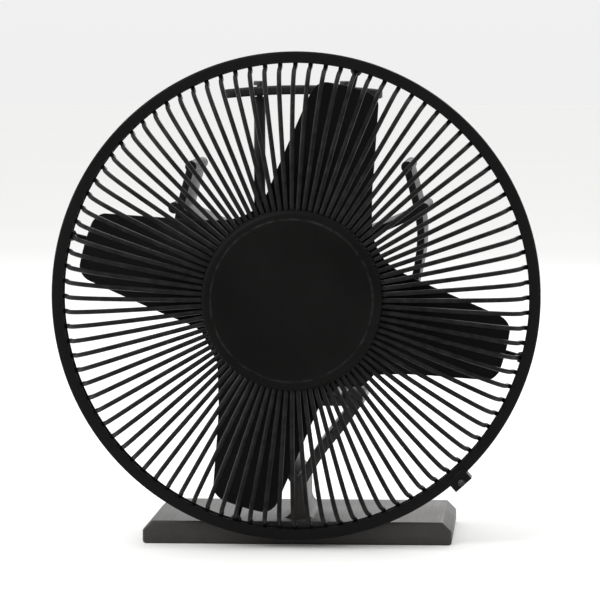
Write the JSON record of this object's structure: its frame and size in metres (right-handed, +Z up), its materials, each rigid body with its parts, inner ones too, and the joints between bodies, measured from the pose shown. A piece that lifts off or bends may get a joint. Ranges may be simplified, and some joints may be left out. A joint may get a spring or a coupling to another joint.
{
  "type": "stove fan",
  "caption": "Heat-powered stove fan: flat foot, thermoelectric module, finned heat sink with carrying handle, and a four-blade rotor inside a round wire guard.",
  "frame": {"origin": "middle of the foot's flat underside, where the fan stands on the stove", "axes": "+X to the right seen from the front, +Y to the back along the fan's axis, +Z up; the blades and guard face -Y"},
  "size_m": [0.21, 0.1239, 0.213],
  "materials": {
    "foot_metal": "extruded, brushed and darkened by heat",
    "sink_black": "extruded, black anodised",
    "blade_black": "pressed sheet, satin black paint",
    "guard_black": "welded wire, black powder coat",
    "cap_black": "pressed disc, satin black",
    "handle_black": "black powder coat",
    "steel": "zinc plated",
    "black_steel": "black oxide",
    "brass": "turned brass",
    "ceramic": "fired alumina",
    "pellet": "bismuth telluride with sealant",
    "pad": "thermal pad",
    "plastic": "moulded heat-proof plastic",
    "insulator": "moulded insulator",
    "ferrite": "sintered ferrite",
    "lamination": "stacked laminations",
    "copper": "copper",
    "lead_red": "silicone sleeve",
    "lead_black": "silicone sleeve"
  },
  "bodies": {
    "stand": {"hot_base": "foot_metal", "safety_strip": "brass", "safety_strip_rivet": "steel", "thermal_pad_hot": "pad", "module_hot_ceramic": "ceramic", "module_pellets": "pellet", "module_cold_ceramic": "ceramic", "thermal_pad_cold": "pad", "cold_heat_sink": "sink_black", "handle_bar": "handle_black", "handle_post_left": "handle_black", "handle_post_right": "handle_black", "handle_screw_left": "black_steel", "handle_screw_right": "black_steel", "motor_can": "steel", "motor_front_bush": "brass", "motor_rear_bush": "brass", "motor_magnet_left": "ferrite", "motor_magnet_right": "ferrite", "motor_end_cap": "plastic", "motor_brush_left": "copper", "motor_brush_right": "copper", "motor_clamp_screw": "black_steel", "motor_rear_cover": "plastic", "lead_red": "lead_red", "lead_black": "lead_black", "guard_grille": "guard_black", "rim_band": "guard_black", "rim_clip": "guard_black", "rim_clip_screw": "black_steel", "rim_clip_nut": "black_steel", "guard_rear_frame": "guard_black", "centre_cap": "cap_black", "cap_retainer": "cap_black", "cap_screw": "black_steel", "clamp_bush_1": "insulator", "clamp_screw_1": "steel", "guard_screw_1": "black_steel", "clamp_bush_2": "insulator", "clamp_screw_2": "steel", "guard_screw_2": "black_steel", "clamp_bush_3": "insulator", "clamp_screw_3": "steel", "guard_screw_3": "black_steel", "clamp_bush_4": "insulator", "clamp_screw_4": "steel", "guard_screw_4": "black_steel"},
    "rotor": {"motor_shaft": "steel", "motor_armature": "lamination", "motor_commutator": "copper", "hub": "brass", "hub_grub_screw": "black_steel", "fan_blades": "blade_black", "hub_rivet_1": "steel", "hub_rivet_2": "steel", "hub_rivet_3": "steel", "hub_rivet_4": "steel"}
  },
  "joints": [
    {"name": "rotor_spin", "type": "hinge", "parent": "stand", "child": "rotor", "pos_m": [0, -0.057, 0.108], "axis": [0, 1, 0], "continuous": true}
  ]
}
